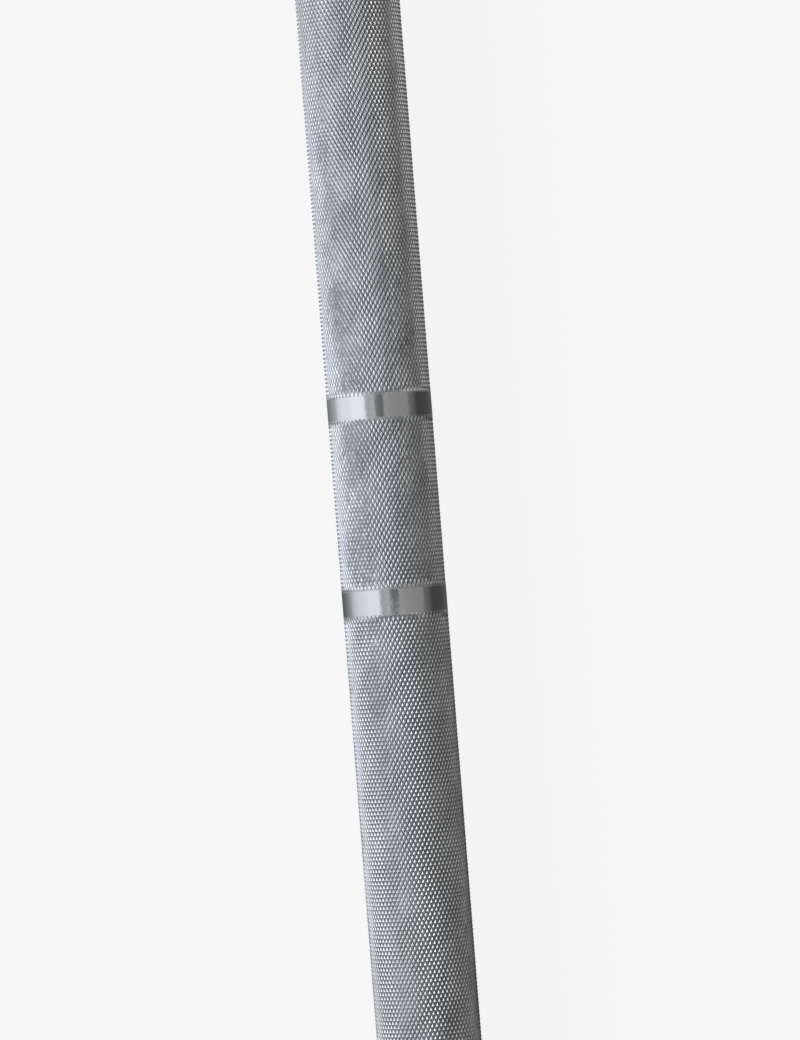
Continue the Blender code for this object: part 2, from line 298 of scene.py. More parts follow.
def knurled_length(name, start, end, part, seed):
    """Part of a knurled length of the shaft as one closed mesh: pyramids with worn tips.

    Stations lie half a pitch apart along the bar, and 2 x KNURL_STARTS columns go round it.
    Grooves cross where station + column is even, and a pyramid stands where it is odd.
    The same start, end and seed give parts that join without a break.
    """
    low, high = sorted((start, end))
    step = KNURL_PITCH / 2
    columns = 2 * KNURL_STARTS
    stations = np.arange(math.floor(low / step) - 1, math.ceil(high / step) + 2)
    rng = np.random.default_rng(seed)

    def points(column, station, depth):
        angle = math.pi * column / KNURL_STARTS
        radius = SHAFT_RADIUS - depth
        return np.stack(
            [station * step, radius * np.sin(angle), AXIS_HEIGHT + radius * np.cos(angle)], axis=-1
        )

    def crossing(row, column):
        return row * KNURL_STARTS + ((column % columns) - stations[row] % 2) // 2

    def lifted(depth, station):
        inside = np.minimum(station * step - low, high - station * step) / RUN_OUT
        return np.maximum(depth - GROOVE_DEPTH * (1 - np.clip(inside, 0, 1)), 0)

    def drift(column, station):
        """A swell from -1 to 1, over 12 to 40 stations along the bar and 1/8 to 1/3 of a turn round it."""
        turn = math.pi * column / KNURL_STARTS
        return (
            np.sin(station * 0.31 + 3 * turn + seed) + np.sin(station * 0.17 - 5 * turn + 2 * seed)
            + np.sin(station * 0.53 + 8 * turn) * 0.7
        ) / 2.7

    # Groove bottoms; where a knurled length runs out, grooves grow shallow and narrow to points
    row = np.repeat(np.arange(len(stations)), KNURL_STARTS)
    station = stations[row]
    column = 2 * np.tile(np.arange(KNURL_STARTS), len(stations)) + station % 2
    depth = GROOVE_DEPTH * (1 + DEPTH_DRIFT * drift(column, station))
    depth += rng.normal(0, GROOVE_SCATTER, len(row))
    cross_points = points(column + rng.normal(0, PLACE_SCATTER, len(row)), station, lifted(depth, station))

    # Pyramids, from the top: a crowned land, an easy slope to a shoulder, then the groove's wall.
    # c is the middle of the land; w, e, s, n are the land's corners, k, l, m, o the shoulder's and
    # W, E, S, N the groove crossings, each to the west, east, south and north.
    row = np.repeat(np.arange(1, len(stations) - 1), KNURL_STARTS)
    station = stations[row]
    column = 2 * np.tile(np.arange(KNURL_STARTS), len(stations) - 2) + (station + 1) % 2
    cells = len(row)
    tip = np.abs(rng.normal(0, TIP_SCATTER, cells))
    land = LAND_SHARE + LAND_DRIFT * drift(column + LAND_LAG, station)
    land += rng.normal(0, PLACE_SCATTER, cells)
    shoulder = SHOULDER_SHARE + rng.normal(0, PLACE_SCATTER, cells)
    corner = {
        "W": (crossing(row, column - 1), column - 1, station),
        "E": (crossing(row, column + 1), column + 1, station),
        "S": (crossing(row - 1, column), column, station - 1),
        "N": (crossing(row + 1, column), column, station + 1),
    }
    levels = [cross_points]
    base = len(cross_points)
    heights = ("c", 0, tip), ("wesn", land, tip + LAND_CROWN), ("klmo", shoulder, SHOULDER_DROP)
    for letters, reach, depth in heights:
        for letter, (around, along) in zip(letters, ((-1, 0), (1, 0), (0, -1), (0, 1))):
            at = column + around * reach, station + along * reach
            tilt = rng.normal(0, TILT_SCATTER, cells) if letters == "klmo" else 0
            corner[letter] = (base + np.arange(cells), *at)
            levels.append(points(*at, lifted(depth + tilt, at[1])))
            base += cells
    part_low, part_high = sorted(part)
    near = (station * step > part_low - 2 * step) & (station * step < part_high + 2 * step)
    faces, corners_uv = [], []
    for face in ("WNok", "NElo", "ESml", "SWkm", "konw", "olen", "lmse", "mkws", "wnc", "nec", "esc", "swc"):
        faces += np.stack([corner[k][0][near] for k in face], axis=1).tolist()
        around = np.stack([(corner[k][1][near] + 1) / (columns + 2) for k in face], axis=1)
        along = np.stack([corner[k][2][near] * step - part_low for k in face], axis=1)
        along = np.clip(along / (part_high - part_low), 0, 1)
        corners_uv.append(np.stack([around, along], axis=-1).reshape(-1))
    mesh = bpy.data.meshes.new(name)
    mesh.from_pydata(np.concatenate(levels).tolist(), [], faces)
    mesh.uv_layers.new(name="OFBake").data.foreach_set("uv", np.concatenate(corners_uv))

    # The grooves run on past the part's ends, which are then cut square and closed
    cut = bmesh.new()
    cut.from_mesh(mesh)
    for at, normal in ((part_low, -1), (part_high, 1)):
        everything = cut.verts[:] + cut.edges[:] + cut.faces[:]
        bmesh.ops.bisect_plane(
            cut, geom=everything, plane_co=(at, 0, 0), plane_no=(normal, 0, 0), clear_outer=True,
        )
        rim = [
            edge for edge in cut.edges
            if edge.is_boundary and all(abs(v.co.x - at) < 0.001 * MM for v in edge.verts)
        ]
        lid = bmesh.ops.edgeloop_fill(cut, edges=rim)["faces"]
        bmesh.ops.poke(cut, faces=lid)
    bmesh.ops.recalc_face_normals(cut, faces=cut.faces[:])
    cut.to_mesh(mesh)
    cut.free()
    mesh.shade_smooth()
    mesh.set_sharp_from_angle(angle=FACET_SHARP_ANGLE)
    return new_piece(name, mesh)


def axis_distance(tree, place):
    """How far each point of a surface lies from the bar's axis."""
    centred = node(
        tree, "VectorMath", sockets={1: (0, 0, AXIS_HEIGHT)}, feeds={0: place.outputs["Object"]},
        operation="SUBTRACT",
    )
    across = node(
        tree, "VectorMath", sockets={1: (0, 1, 1)}, feeds={0: centred.outputs["Vector"]},
        operation="MULTIPLY",
    )
    return node(tree, "VectorMath", feeds={0: across.outputs["Vector"]}, operation="LENGTH")


def worn_knurl_chrome():
    """Rolled knurl under chrome: facets that glint one by one, dulled by hands, with dirt and painted shade
    between.
    """
    material, tree, shader = blank_material("worn_knurl_chrome")
    shader.inputs["Metallic"].default_value = 1.0
    place = node(tree, "TexCoord")
    # Handling dulls the metal in soft patches some 15 mm across
    patches = node(
        tree, "TexNoise", sockets={"Scale": 70.0, "Detail": 3.0, "Roughness": 0.55},
        feeds={"Vector": place.outputs["Object"]},
    )
    tone = node(tree, "ValToRGB", feeds={"Fac": patches.outputs["Fac"]})
    tone.color_ramp.elements[0].position = 0.30
    tone.color_ramp.elements[0].color = linear(HANDLED_STEEL)
    tone.color_ramp.elements[1].position = 0.65
    tone.color_ramp.elements[1].color = linear(KNURL_STEEL)
    rough = node(
        tree, "MapRange", sockets={"To Min": 0.24, "To Max": 0.12}, feeds={"Value": patches.outputs["Fac"]},
    )
    # Oil and chalk settle in the grooves, below the pyramids' shoulders; the colour there is darkened, partly
    # for that dirt and partly as painted shade
    groove_height = node(
        tree, "MapRange",
        sockets={"From Min": SHAFT_RADIUS - GROOVE_DEPTH, "From Max": SHAFT_RADIUS - SHOULDER_DROP},
        feeds={"Value": axis_distance(tree, place).outputs["Value"]},
    )
    # Painted shade and dirt together: the steel's colour darkens towards the groove bottoms
    dirt_and_shade = node(tree, "ValToRGB", feeds={"Fac": groove_height.outputs["Result"]})
    dirt_and_shade.color_ramp.elements[0].color = linear(GROOVE_DIRT_AND_SHADE)
    dirt_and_shade.color_ramp.elements[1].color = linear(NO_DIRT_OR_SHADE)
    dirtied_and_shaded = node(
        tree, "VectorMath", feeds={0: tone.outputs["Color"], 1: dirt_and_shade.outputs["Color"]}, operation="MULTIPLY",
    )
    crust = node(
        tree, "MapRange", sockets={"To Min": 0.22, "To Max": 0.0}, feeds={"Value": groove_height.outputs["Result"]},
    )
    dull = node(
        tree, "Math", feeds={0: rough.outputs["Result"], 1: crust.outputs["Result"]}, operation="MAXIMUM",
    )
    # Rolling leaves the facets uneven at about a tenth of a millimetre
    grain = node(
        tree, "TexNoise", sockets={"Scale": 9000.0, "Detail": 2.0}, feeds={"Vector": place.outputs["Object"]},
    )
    bump = node(
        tree, "Bump", sockets={"Strength": 0.15, "Distance": 0.02 * MM},
        feeds={"Height": grain.outputs["Fac"]},
    )
    tree.links.new(dirtied_and_shaded.outputs["Vector"], shader.inputs["Base Color"])
    tree.links.new(dull.outputs["Value"], shader.inputs["Roughness"])
    tree.links.new(bump.outputs["Normal"], shader.inputs["Normal"])
    return material


knurl_chrome = worn_knurl_chrome()
# Three knurled lengths a side lie between the smooth middle, the two marks and the turned end
mark_edges = [place + part * width / 2 for place, width in MARKS.values() for part in (-1, 1)]
lengths = list(zip([KNURL_START] + mark_edges[1::2], mark_edges[0::2] + [KNURL_END]))
for side, sign in (("right", 1), ("left", -1)):
    for number, (near, far) in enumerate(lengths, 1):
        joins = [near] + [join for join in KNURL_JOINS if near < join < far] + [far]
        for letter, part in zip("ab", zip(joins, joins[1:])):
            grip = knurled_length(
                f"{side}_knurl_{number}{letter}", sign * near, sign * far, [sign * x for x in part],
                seed=number,
            )
            dress(grip, knurl_chrome, "shaft", "shaft_steel")


# Sleeves. Each is a steel tube turned to 50 mm for the plates and chromed, bored for its bushes,
# with a wider seat and a groove at its outer end for the cap and the cap's snap ring.
COLLAR_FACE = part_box("right_collar")[0].x
SLEEVE_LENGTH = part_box("right_sleeve")[1].x - COLLAR_FACE
SLEEVE_RADIUS = 25.0 * MM
SLEEVE_CHAMFER = 2.0 * MM
SLEEVE_BORE_RADIUS = 15.0 * MM
MOUTH_RADIUS = 17.0 * MM
MOUTH_DEPTH = 11.2 * MM
POCKET_RADIUS = 18.3 * MM
POCKET_FLOOR = 422.2 * MM
CAP_SEAT_RADIUS = 19.5 * MM
CAP_SEAT = 435.0 * MM
CAP_RING_LOW = 440.6 * MM
CAP_RING_GROOVE_RADIUS = 20.9 * MM
RING_THICKNESS = 1.8 * MM
RING_PLAY = 0.1 * MM

SLEEVE_CHROME = "#CFD0D1"
RUBBED_CHROME = "#BEBFC0"


def rubbed_sleeve_chrome():
    """Chrome over fine turning: bright, with grey lengthwise rubs from plates and dulled bands."""
    material, tree, shader = blank_material("rubbed_sleeve_chrome")
    shader.inputs["Metallic"].default_value = 1.0
    place = node(tree, "TexCoord")
    # Turning lines 0.25 mm apart run round the sleeve
    lines = node(
        tree, "Mapping", sockets={"Scale": (1 / (0.25 * MM), 30.0, 30.0)},
        feeds={"Vector": place.outputs["Object"]},
    )
    grain = node(
        tree, "TexNoise", sockets={"Scale": 1.0, "Detail": 2.0}, feeds={"Vector": lines.outputs["Vector"]},
    )
    # Rubs from plates are about 0.8 mm wide and 60 mm long, along the sleeve
    streaks = node(
        tree, "Mapping", sockets={"Scale": (16.0, 1 / (0.8 * MM), 1 / (0.8 * MM))},
        feeds={"Vector": place.outputs["Object"]},
    )
    rubs = node(
        tree, "TexNoise", sockets={"Scale": 1.0, "Detail": 3.0}, feeds={"Vector": streaks.outputs["Vector"]},
    )
    tone = node(tree, "ValToRGB", feeds={"Fac": rubs.outputs["Fac"]})
    tone.color_ramp.elements[0].position = 0.56
    tone.color_ramp.elements[0].color = linear(SLEEVE_CHROME)
    tone.color_ramp.elements[1].position = 0.72
    tone.color_ramp.elements[1].color = linear(RUBBED_CHROME)
    rough = node(
        tree, "MapRange", sockets={"From Min": 0.56, "From Max": 0.72, "To Min": 0.13, "To Max": 0.34},
        feeds={"Value": rubs.outputs["Fac"]},
    )
    bump = node(
        tree, "Bump", sockets={"Strength": 0.10, "Distance": 0.02 * MM},
        feeds={"Height": grain.outputs["Fac"]},
    )
    tree.links.new(tone.outputs["Color"], shader.inputs["Base Color"])
    tree.links.new(rough.outputs["Result"], shader.inputs["Roughness"])
    tree.links.new(bump.outputs["Normal"], shader.inputs["Normal"])
    return material


sleeve_chrome = rubbed_sleeve_chrome()
sleeve_end = COLLAR_FACE + SLEEVE_LENGTH
ring_low = COLLAR_FACE + CAP_RING_LOW
for side, sign in (("right", 1), ("left", -1)):
    sleeve = turned(
        f"{side}_turned_sleeve",
        [
            (CAP_SEAT_RADIUS, sleeve_end, 0.3 * MM),
            (SLEEVE_RADIUS - SLEEVE_CHAMFER, sleeve_end, 0.5 * MM),
            (SLEEVE_RADIUS, sleeve_end - SLEEVE_CHAMFER, 0.5 * MM),
            (SLEEVE_RADIUS, COLLAR_FACE, 0.2 * MM),
            (MOUTH_RADIUS, COLLAR_FACE, 0.3 * MM),
            (MOUTH_RADIUS, COLLAR_FACE + MOUTH_DEPTH, 0),
            (SLEEVE_BORE_RADIUS, COLLAR_FACE + MOUTH_DEPTH, 0),
            (SLEEVE_BORE_RADIUS, COLLAR_FACE + POCKET_FLOOR, 0),
            (POCKET_RADIUS, COLLAR_FACE + POCKET_FLOOR, 0),
            (POCKET_RADIUS, COLLAR_FACE + CAP_SEAT, 0),
            (CAP_SEAT_RADIUS, COLLAR_FACE + CAP_SEAT, 0),
            (CAP_SEAT_RADIUS, ring_low - RING_PLAY, 0),
            (CAP_RING_GROOVE_RADIUS, ring_low - RING_PLAY, 0),
            (CAP_RING_GROOVE_RADIUS, ring_low + RING_THICKNESS + RING_PLAY, 0),
            (CAP_SEAT_RADIUS, ring_low + RING_THICKNESS + RING_PLAY, 0),
        ],
        outward=sign,
    )
    dress(sleeve, sleeve_chrome, f"{side}_sleeve", "sleeve_chrome", f"{side}_sleeve")


# Collars. A thick steel ring, turned, chromed and pressed on the inner end of each sleeve, stops
# the plates; its edges are rounded and a shallow groove runs round its middle.
COLLAR_RADIUS = 39.0 * MM
COLLAR_WIDTH = 30.0 * MM
COLLAR_EASE = 2.5 * MM
COLLAR_GROOVE_WIDTH = 4.0 * MM
COLLAR_GROOVE_DEPTH = 1.0 * MM
COLLAR_GROOVE_SLOPE = 1.0 * MM

COLLAR_CHROME = "#CACBCC"


def turned_collar_chrome():
    """Chrome over a turned face: bright rings run round the flats, with a few dull scuffs."""
    material, tree, shader = blank_material("turned_collar_chrome")
    shader.inputs["Metallic"].default_value = 1.0
    shader.inputs["Base Color"].default_value = linear(COLLAR_CHROME)
    place = node(tree, "TexCoord")
    # Feed lines 0.3 mm apart: rings round the flat faces, and round the rim
    parts = node(tree, "SeparateXYZ", feeds={"Vector": place.outputs["Object"]})
    reach = node(
        tree, "Math", feeds={0: axis_distance(tree, place).outputs["Value"], 1: parts.outputs["X"]},
        operation="ADD",
    )
    feed = node(
        tree, "TexNoise", sockets={"Scale": 1 / (0.3 * MM), "Detail": 2.0},
        feeds={"W": reach.outputs["Value"]}, noise_dimensions="1D",
    )
    # Scuffs some 4 mm across, where plates and racks knock it
    scuffs = node(
        tree, "TexNoise", sockets={"Scale": 1 / (4 * MM), "Detail": 4.0},
        feeds={"Vector": place.outputs["Object"]},
    )
    rough = node(
        tree, "MapRange", sockets={"From Min": 0.5, "From Max": 0.75, "To Min": 0.15, "To Max": 0.24},
        feeds={"Value": scuffs.outputs["Fac"]},
    )
    bump = node(
        tree, "Bump", sockets={"Strength": 0.12, "Distance": 0.02 * MM},
        feeds={"Height": feed.outputs["Fac"]},
    )
    tree.links.new(rough.outputs["Result"], shader.inputs["Roughness"])
    tree.links.new(bump.outputs["Normal"], shader.inputs["Normal"])
    return material


collar_chrome = turned_collar_chrome()
middle = COLLAR_FACE + COLLAR_WIDTH / 2
groove_low, groove_high = middle - COLLAR_GROOVE_WIDTH / 2, middle + COLLAR_GROOVE_WIDTH / 2
for side, sign in (("right", 1), ("left", -1)):
    collar = turned(
        f"{side}_stop_collar",
        [
            (SLEEVE_RADIUS, COLLAR_FACE + COLLAR_WIDTH, 0),
            (COLLAR_RADIUS, COLLAR_FACE + COLLAR_WIDTH, COLLAR_EASE),
            (COLLAR_RADIUS, groove_high, 0.3 * MM),
            (COLLAR_RADIUS - COLLAR_GROOVE_DEPTH, groove_high - COLLAR_GROOVE_SLOPE, 0.4 * MM),
            (COLLAR_RADIUS - COLLAR_GROOVE_DEPTH, groove_low + COLLAR_GROOVE_SLOPE, 0.4 * MM),
            (COLLAR_RADIUS, groove_low, 0.3 * MM),
            (COLLAR_RADIUS, COLLAR_FACE, COLLAR_EASE),
            (SLEEVE_RADIUS, COLLAR_FACE, 0),
        ],
        outward=sign,
    )
    dress(collar, collar_chrome, f"{side}_sleeve", "collar_chrome", f"{side}_collar")


# Bushes and washers. Flanged bushes and thrust washers of sintered bronze carry each sleeve, and
# a ground steel washer backs them up; all are slipped on the journal, so they stay the CAD's own.
BRONZE = "#A98352"
BRONZE_PORE = "#6E5130"
WASHER_STEEL = "#A2A3A5"


def sintered_bronze():
    """Pressed and sintered bronze, soaked in oil: a warm satin metal peppered with tiny pores."""
    material, tree, shader = blank_material("sintered_bronze")
    shader.inputs["Metallic"].default_value = 1.0
    place = node(tree, "TexCoord")
    # Pores 0.2 mm apart, as between grains of the pressed powder
    pores = node(
        tree, "TexVoronoi", sockets={"Scale": 1 / (0.2 * MM)}, feeds={"Vector": place.outputs["Object"]},
    )
    tone = node(tree, "ValToRGB", feeds={"Fac": pores.outputs["Distance"]})
    tone.color_ramp.elements[0].position = 0.12
    tone.color_ramp.elements[0].color = linear(BRONZE_PORE)
    tone.color_ramp.elements[1].position = 0.35
    tone.color_ramp.elements[1].color = linear(BRONZE)
    # An oil film lies on it in patches some 5 mm across
    film = node(
        tree, "TexNoise", sockets={"Scale": 1 / (5 * MM), "Detail": 2.0},
        feeds={"Vector": place.outputs["Object"]},
    )
    rough = node(
        tree, "MapRange", sockets={"To Min": 0.26, "To Max": 0.42}, feeds={"Value": film.outputs["Fac"]},
    )
    bump = node(
        tree, "Bump", sockets={"Strength": 0.3, "Distance": 0.03 * MM},
        feeds={"Height": pores.outputs["Distance"]},
    )
    tree.links.new(tone.outputs["Color"], shader.inputs["Base Color"])
    tree.links.new(rough.outputs["Result"], shader.inputs["Roughness"])
    tree.links.new(bump.outputs["Normal"], shader.inputs["Normal"])
    return material


def ground_washer_steel():
    """Hardened washer steel off a surface grinder: grey, with fine straight scratches one way."""
    material, tree, shader = blank_material("ground_washer_steel")
    shader.inputs["Metallic"].default_value = 1.0
    shader.inputs["Base Color"].default_value = linear(WASHER_STEEL)
    place = node(tree, "TexCoord")
    # Scratches 0.15 mm apart run across the washer's faces
    stretch = node(
        tree, "Mapping", sockets={"Scale": (1 / (5 * MM), 1 / (0.15 * MM), 1 / (10 * MM))},
        feeds={"Vector": place.outputs["Object"]},
    )
    scratches = node(
        tree, "TexNoise", sockets={"Scale": 1.0, "Detail": 2.0}, feeds={"Vector": stretch.outputs["Vector"]},
    )
    rough = node(
        tree, "MapRange", sockets={"To Min": 0.25, "To Max": 0.45}, feeds={"Value": scratches.outputs["Fac"]},
    )
    bump = node(
        tree, "Bump", sockets={"Strength": 0.2, "Distance": 0.01 * MM},
        feeds={"Height": scratches.outputs["Fac"]},
    )
    tree.links.new(rough.outputs["Result"], shader.inputs["Roughness"])
    tree.links.new(bump.outputs["Normal"], shader.inputs["Normal"])
    return material


bronze = sintered_bronze()
washer_steel = ground_washer_steel()
for side in ("right", "left"):
    for kind in ("inner_thrust_washer", "inner_bushing", "outer_bushing", "outer_thrust_washer"):
        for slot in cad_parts[f"{side}_{kind}"].material_slots:
            slot.material = bronze
    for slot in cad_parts[f"{side}_backing_washer"].material_slots:
        slot.material = washer_steel


# Dust seals. A moulded nitrile ring, pressed into the mouth of each sleeve, keeps chalk and grit
# off the bushes; its lip just touches the shaft.
SEAL_LOW = COLLAR_FACE + 0.5 * MM
SEAL_HIGH = SEAL_LOW + 4.5 * MM
SEAL_RADIUS = 16.9 * MM
SEAL_BORE_RADIUS = 15.5 * MM
# A shallow fold in the seal's face parts its body from its lip
SEAL_FOLD_RADII = (15.7 * MM, 15.3 * MM, 14.8 * MM)
SEAL_LIP_RADIUS = SHAFT_RADIUS + 0.1 * MM

NITRILE = "#1D1D1E"
CHALKED_NITRILE = "#3A3A3A"


def moulded_nitrile():
    """Moulded nitrile rubber: near black and dull, with a grey bloom of chalk here and there."""
    material, tree, shader = blank_material("moulded_nitrile")
    place = node(tree, "TexCoord")
    # Chalk blooms in patches some 3 mm across
    bloom = node(
        tree, "TexNoise", sockets={"Scale": 350.0, "Detail": 4.0}, feeds={"Vector": place.outputs["Object"]},
    )
    tone = node(tree, "ValToRGB", feeds={"Fac": bloom.outputs["Fac"]})
    tone.color_ramp.elements[0].position = 0.45
    tone.color_ramp.elements[0].color = linear(NITRILE)
    tone.color_ramp.elements[1].position = 0.80
    tone.color_ramp.elements[1].color = linear(CHALKED_NITRILE)
    rough = node(
        tree, "MapRange", sockets={"To Min": 0.50, "To Max": 0.75}, feeds={"Value": bloom.outputs["Fac"]},
    )
    # The mould's own satin texture, 0.1 mm across
    skin = node(
        tree, "TexNoise", sockets={"Scale": 1 / (0.1 * MM)}, feeds={"Vector": place.outputs["Object"]},
    )
    bump = node(
        tree, "Bump", sockets={"Strength": 0.2, "Distance": 0.02 * MM}, feeds={"Height": skin.outputs["Fac"]},
    )
    tree.links.new(tone.outputs["Color"], shader.inputs["Base Color"])
    tree.links.new(rough.outputs["Result"], shader.inputs["Roughness"])
    tree.links.new(bump.outputs["Normal"], shader.inputs["Normal"])
    return material


nitrile = moulded_nitrile()
for side, sign in (("right", 1), ("left", -1)):
    seal = turned(
        f"{side}_lip_seal",
        [
            (SEAL_BORE_RADIUS, SEAL_HIGH, 0.2 * MM),
            (SEAL_RADIUS, SEAL_HIGH, 0.2 * MM),
            (SEAL_RADIUS, SEAL_LOW, 0.4 * MM),
            (SEAL_FOLD_RADII[0], SEAL_LOW, 0.2 * MM),
            (SEAL_FOLD_RADII[1], SEAL_LOW + 0.5 * MM, 0.2 * MM),
            (SEAL_FOLD_RADII[2], SEAL_LOW + 0.1 * MM, 0.2 * MM),
            (SEAL_LIP_RADIUS, SEAL_LOW + 0.2 * MM, 0.1 * MM),
            (SEAL_LIP_RADIUS, SEAL_LOW + 1.4 * MM, 0.1 * MM),
            (SEAL_BORE_RADIUS, SEAL_LOW + 3.0 * MM, 0.2 * MM),
        ],
        outward=sign,
    )
    dress(seal, nitrile, f"{side}_sleeve", "seal_rubber", f"{side}_dust_seal")


# End caps. A disc turned from aluminium bar, dished inside a plain rim, drops into the seat at
# each sleeve's end; its centre keeps the small hollow that the lathe's centre left.
CAP_LOW = COLLAR_FACE + CAP_SEAT + 0.3 * MM
CAP_TOP = CAP_LOW + 5.0 * MM
CAP_RADIUS = 19.4 * MM
CAP_RIM = 3.0 * MM
CAP_DISH = 1.0 * MM
CAP_DISH_SLOPE = 1.0 * MM
CENTRE_HOLLOW_RADIUS = 1.4 * MM
CENTRE_HOLLOW_DEPTH = 0.8 * MM

CAP_ALUMINIUM = "#CBCCCE"


def turned_aluminium():
    """Aluminium faced on a lathe: pale and satin, its light drawn into a fan by fine rings."""
    material, tree, shader = blank_material("turned_aluminium")
    shader.inputs["Metallic"].default_value = 1.0
    shader.inputs["Base Color"].default_value = linear(CAP_ALUMINIUM)
    place = node(tree, "TexCoord")
    # Facing lines 0.25 mm apart
    rings = node(
        tree, "TexNoise", sockets={"Scale": 1 / (0.25 * MM), "Detail": 2.0},
        feeds={"W": axis_distance(tree, place).outputs["Value"]}, noise_dimensions="1D",
    )
    rough = node(
        tree, "MapRange", sockets={"To Min": 0.24, "To Max": 0.40}, feeds={"Value": rings.outputs["Fac"]},
    )
    bump = node(
        tree, "Bump", sockets={"Strength": 0.35, "Distance": 0.02 * MM},
        feeds={"Height": rings.outputs["Fac"]},
    )
    tree.links.new(rough.outputs["Result"], shader.inputs["Roughness"])
    tree.links.new(bump.outputs["Normal"], shader.inputs["Normal"])
    return material


aluminium = turned_aluminium()
for side, sign in (("right", 1), ("left", -1)):
    cap = turned(
        f"{side}_turned_cap",
        [
            (0, CAP_TOP - CAP_DISH - CENTRE_HOLLOW_DEPTH, 0),
            (CENTRE_HOLLOW_RADIUS, CAP_TOP - CAP_DISH, 0.1 * MM),
            (CAP_RADIUS - CAP_RIM - CAP_DISH_SLOPE, CAP_TOP - CAP_DISH, 0.4 * MM),
            (CAP_RADIUS - CAP_RIM, CAP_TOP, 0.3 * MM),
            (CAP_RADIUS, CAP_TOP, 0.3 * MM),
            (CAP_RADIUS, CAP_LOW, 0.3 * MM),
            (0, CAP_LOW, 0),
        ],
        outward=sign,
    )
    dress(cap, aluminium, f"{side}_sleeve", "cap_aluminium", f"{side}_end_cap")


# Snap rings. Stamped from spring steel strip and blackened, each is squeezed by its two drilled
# ears and let go in its groove: one on the journal holds the washers, one in the sleeve the cap.
JOURNAL_RING_LOW = SHAFT_END - 4.8 * MM
# The radius of each ring's free edge, and the one that its ears reach
JOURNAL_RING_RADII = (15.1 * MM, 18.0 * MM)
CAP_RING_RADII = (17.8 * MM, 14.2 * MM)
RING_EDGE = 0.15 * MM
RING_GAP = 7.0 * MM
EAR_WIDTH = 4.0 * MM
EAR_HOLE = 1.6 * MM
EAR_LAND = 0.8 * MM
EAR_ROUNDING = 0.9 * MM
RING_STEPS = 120
HOLE_STEPS = 24

BLACK_OXIDE = "#2A2B2D"
RUBBED_OXIDE = "#5A5B5D"


def snap_ring(name, root, edge, ear_reach, distance, outward):
    """An open flat ring with two drilled ears at its gap, which points down; edges just rounded.

    root is the radius that sits in the groove, edge the other one, and ear_reach the radius that
    the ears run to, inwards or outwards.
    """
    half_gap = RING_GAP / 2
    start = math.asin(half_gap / root)
    near_edge = math.asin((half_gap + EAR_WIDTH) / edge)
    far = math.sqrt(ear_reach ** 2 - (half_gap + EAR_WIDTH) ** 2)
    near = math.sqrt(ear_reach ** 2 - half_gap ** 2)
    root_arc = np.linspace(start, 2 * math.pi - start, RING_STEPS + 1)
    edge_arc = np.linspace(2 * math.pi - near_edge, near_edge, RING_STEPS + 1)

    def rounded(before, corner, after):
        to_before, to_after = ((Vector(p) - Vector(corner)).normalized() for p in (before, after))
        return [
            tuple(Vector(corner) + (to_before * (1 - t) ** 2 + to_after * t ** 2) * EAR_ROUNDING)
            for t in (0, 0.2, 0.4, 0.6, 0.8, 1)
        ]

    ring_points = [(root * math.cos(a), root * math.sin(a)) for a in root_arc]
    edge_points = [(edge * math.cos(a), edge * math.sin(a)) for a in edge_arc]
    inner_low, outer_low = (near, -half_gap), (far, -half_gap - EAR_WIDTH)
    inner_high, outer_high = (near, half_gap), (far, half_gap + EAR_WIDTH)
    outline = ring_points + rounded(ring_points[-1], inner_low, outer_low)
    outline += rounded(inner_low, outer_low, edge_points[0]) + edge_points
    outline += rounded(edge_points[-1], outer_high, inner_high)
    outline += rounded(outer_high, inner_high, ring_points[0])

    hole_place = (near + far) / 2 + math.copysign(EAR_HOLE / 2 + EAR_LAND, edge - ear_reach)
    turn = np.linspace(0, 2 * math.pi, HOLE_STEPS, endpoint=False)
    loops = [outline] + [
        [(hole_place + EAR_HOLE / 2 * math.cos(a), part + EAR_HOLE / 2 * math.sin(a)) for a in turn]
        for part in (-half_gap - EAR_WIDTH / 2, half_gap + EAR_WIDTH / 2)
    ]
    flat = bpy.data.curves.new(name, "CURVE")
    flat.dimensions = "2D"
    flat.fill_mode = "BOTH"
    flat.extrude = RING_THICKNESS / 2 - RING_EDGE
    flat.bevel_depth = RING_EDGE
    flat.bevel_resolution = 2
    flat.offset = -RING_EDGE
    for loop in loops:
        spline = flat.splines.new("POLY")
        spline.points.add(len(loop) - 1)
        spline.points.foreach_set("co", np.ravel([(x, y, 0, 1) for x, y in loop]))
        spline.use_cyclic_u = True
    shape = new_piece(name, flat)
    bpy.context.view_layer.update()
    mesh = bpy.data.meshes.new_from_object(shape.evaluated_get(bpy.context.evaluated_depsgraph_get()))
    bpy.data.objects.remove(shape)
    mesh.name = name
    joined = bmesh.new()
    joined.from_mesh(mesh)
    bmesh.ops.remove_doubles(joined, verts=joined.verts[:], dist=0.001 * MM)
    bmesh.ops.recalc_face_normals(joined, faces=joined.faces[:])
    joined.to_mesh(mesh)
    joined.free()
    place = Matrix.Translation((outward * (distance + RING_THICKNESS / 2), 0, AXIS_HEIGHT))
    mesh.transform(place @ Matrix.Rotation(math.pi / 2, 4, "Y"))
    mesh.shade_smooth()
    mesh.set_sharp_from_angle(angle=SHARP_ANGLE)
    return new_piece(name, mesh)


